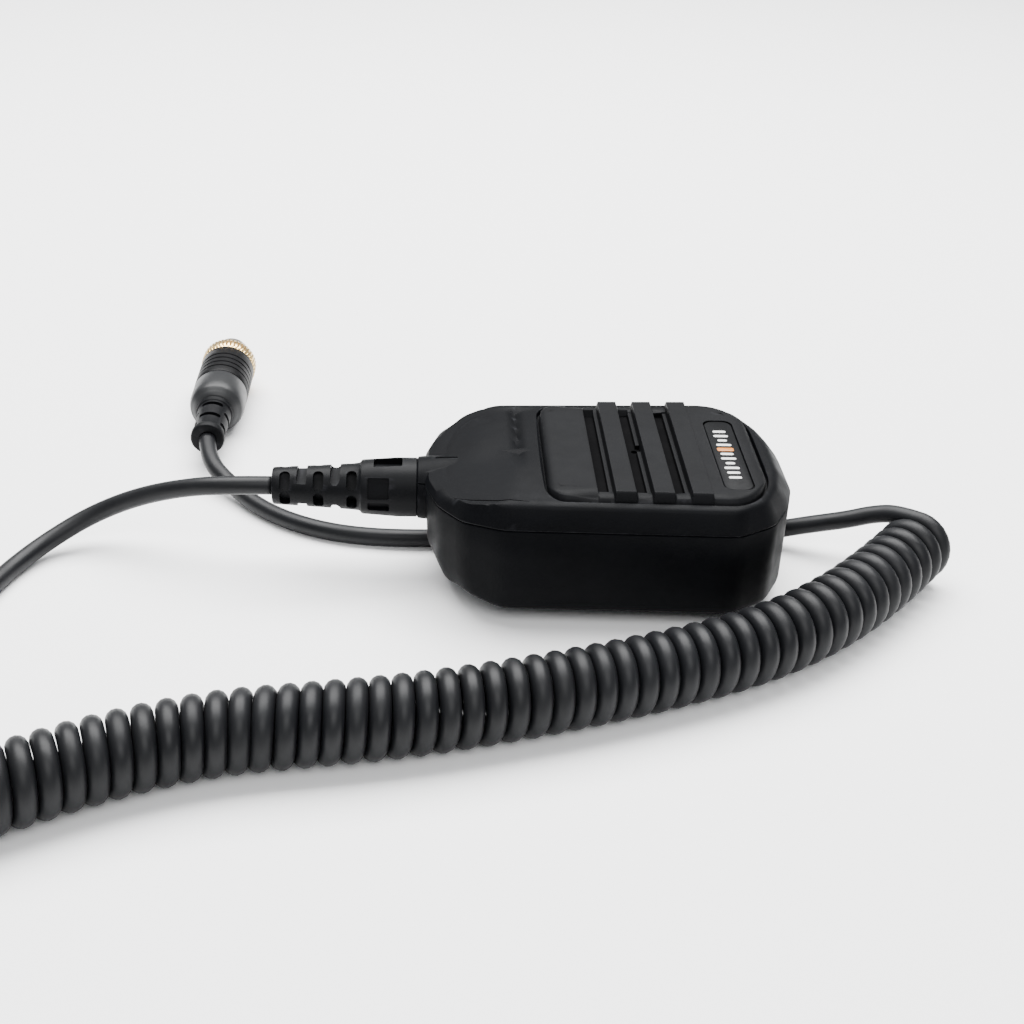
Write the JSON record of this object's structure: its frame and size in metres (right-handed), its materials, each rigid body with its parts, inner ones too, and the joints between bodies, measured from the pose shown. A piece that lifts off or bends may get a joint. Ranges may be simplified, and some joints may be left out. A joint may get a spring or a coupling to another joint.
{
  "type": "hand microphone",
  "caption": "Hand microphone with a louvred grille, a talk button, a hang-up stud, a curly cord and a round threaded plug.",
  "frame": {"origin": "on the surface it lies on, under the middle of the microphone without its cord and plug", "axes": "+X from the cord end to the head, +Y to the side with the talk button, +Z out of the front"},
  "size_m": [0.2483, 0.2231, 0.0348],
  "materials": {
    "shell": "fine moulded grain",
    "panel": "fine moulded grain",
    "badge": "satin",
    "stud": "satin",
    "button": "matte",
    "seal": "matte",
    "cord": "satin",
    "relief": "matte",
    "steel": "zinc plated",
    "brass": "machined",
    "ring_metal": "knurled, plated",
    "nose_metal": "satin plated",
    "plug_plastic": "satin",
    "insert": "matte",
    "board": "solder mask",
    "chip": "matte",
    "felt": "felt",
    "capsule": "satin",
    "wire": "satin",
    "housing": "matte"
  },
  "bodies": {
    "root": {"rear_shell": "shell", "front_shell": "shell", "case_gasket": "seal", "case_screws": "steel", "grille_panel": "panel", "badge_plate": "badge", "hanger_stud": "stud", "stud_screw": "steel", "stud_insert": "brass", "talk_seal": "seal", "talk_switch": "chip", "main_board": "board", "board_screws": "steel", "board_parts": "chip", "mic_capsule": "capsule", "mic_boot": "seal", "mic_felt": "felt", "mic_leads": "steel", "cord_inner_end": "cord", "cord_clamp": "plug_plastic", "clamp_screws": "steel", "inner_wires": "wire", "wire_housing": "housing", "board_header": "housing", "strain_relief": "relief", "cord_lead": "cord", "cord_coil": "cord", "cord_tail": "cord", "plug_boot": "relief", "plug_body": "plug_plastic", "plug_sleeve": "relief", "plug_nose": "nose_metal", "plug_insert": "insert", "plug_pins": "brass"},
    "talk": {"talk_button": "button", "talk_plunger": "housing"},
    "ring": {"plug_ring": "ring_metal"}
  },
  "joints": [
    {"name": "talk_press", "type": "slide", "parent": "root", "child": "talk", "axis": [0.0333, -0.9994, 0], "range_m": [0, 0.0015], "stiffness_N_per_m": 1500, "springref_m": -0.0008},
    {"name": "ring_turn", "type": "hinge", "parent": "root", "child": "ring", "pos_m": [-0.1022, 0.0988, 0.008], "axis": [0, 1, 0], "continuous": true}
  ]
}
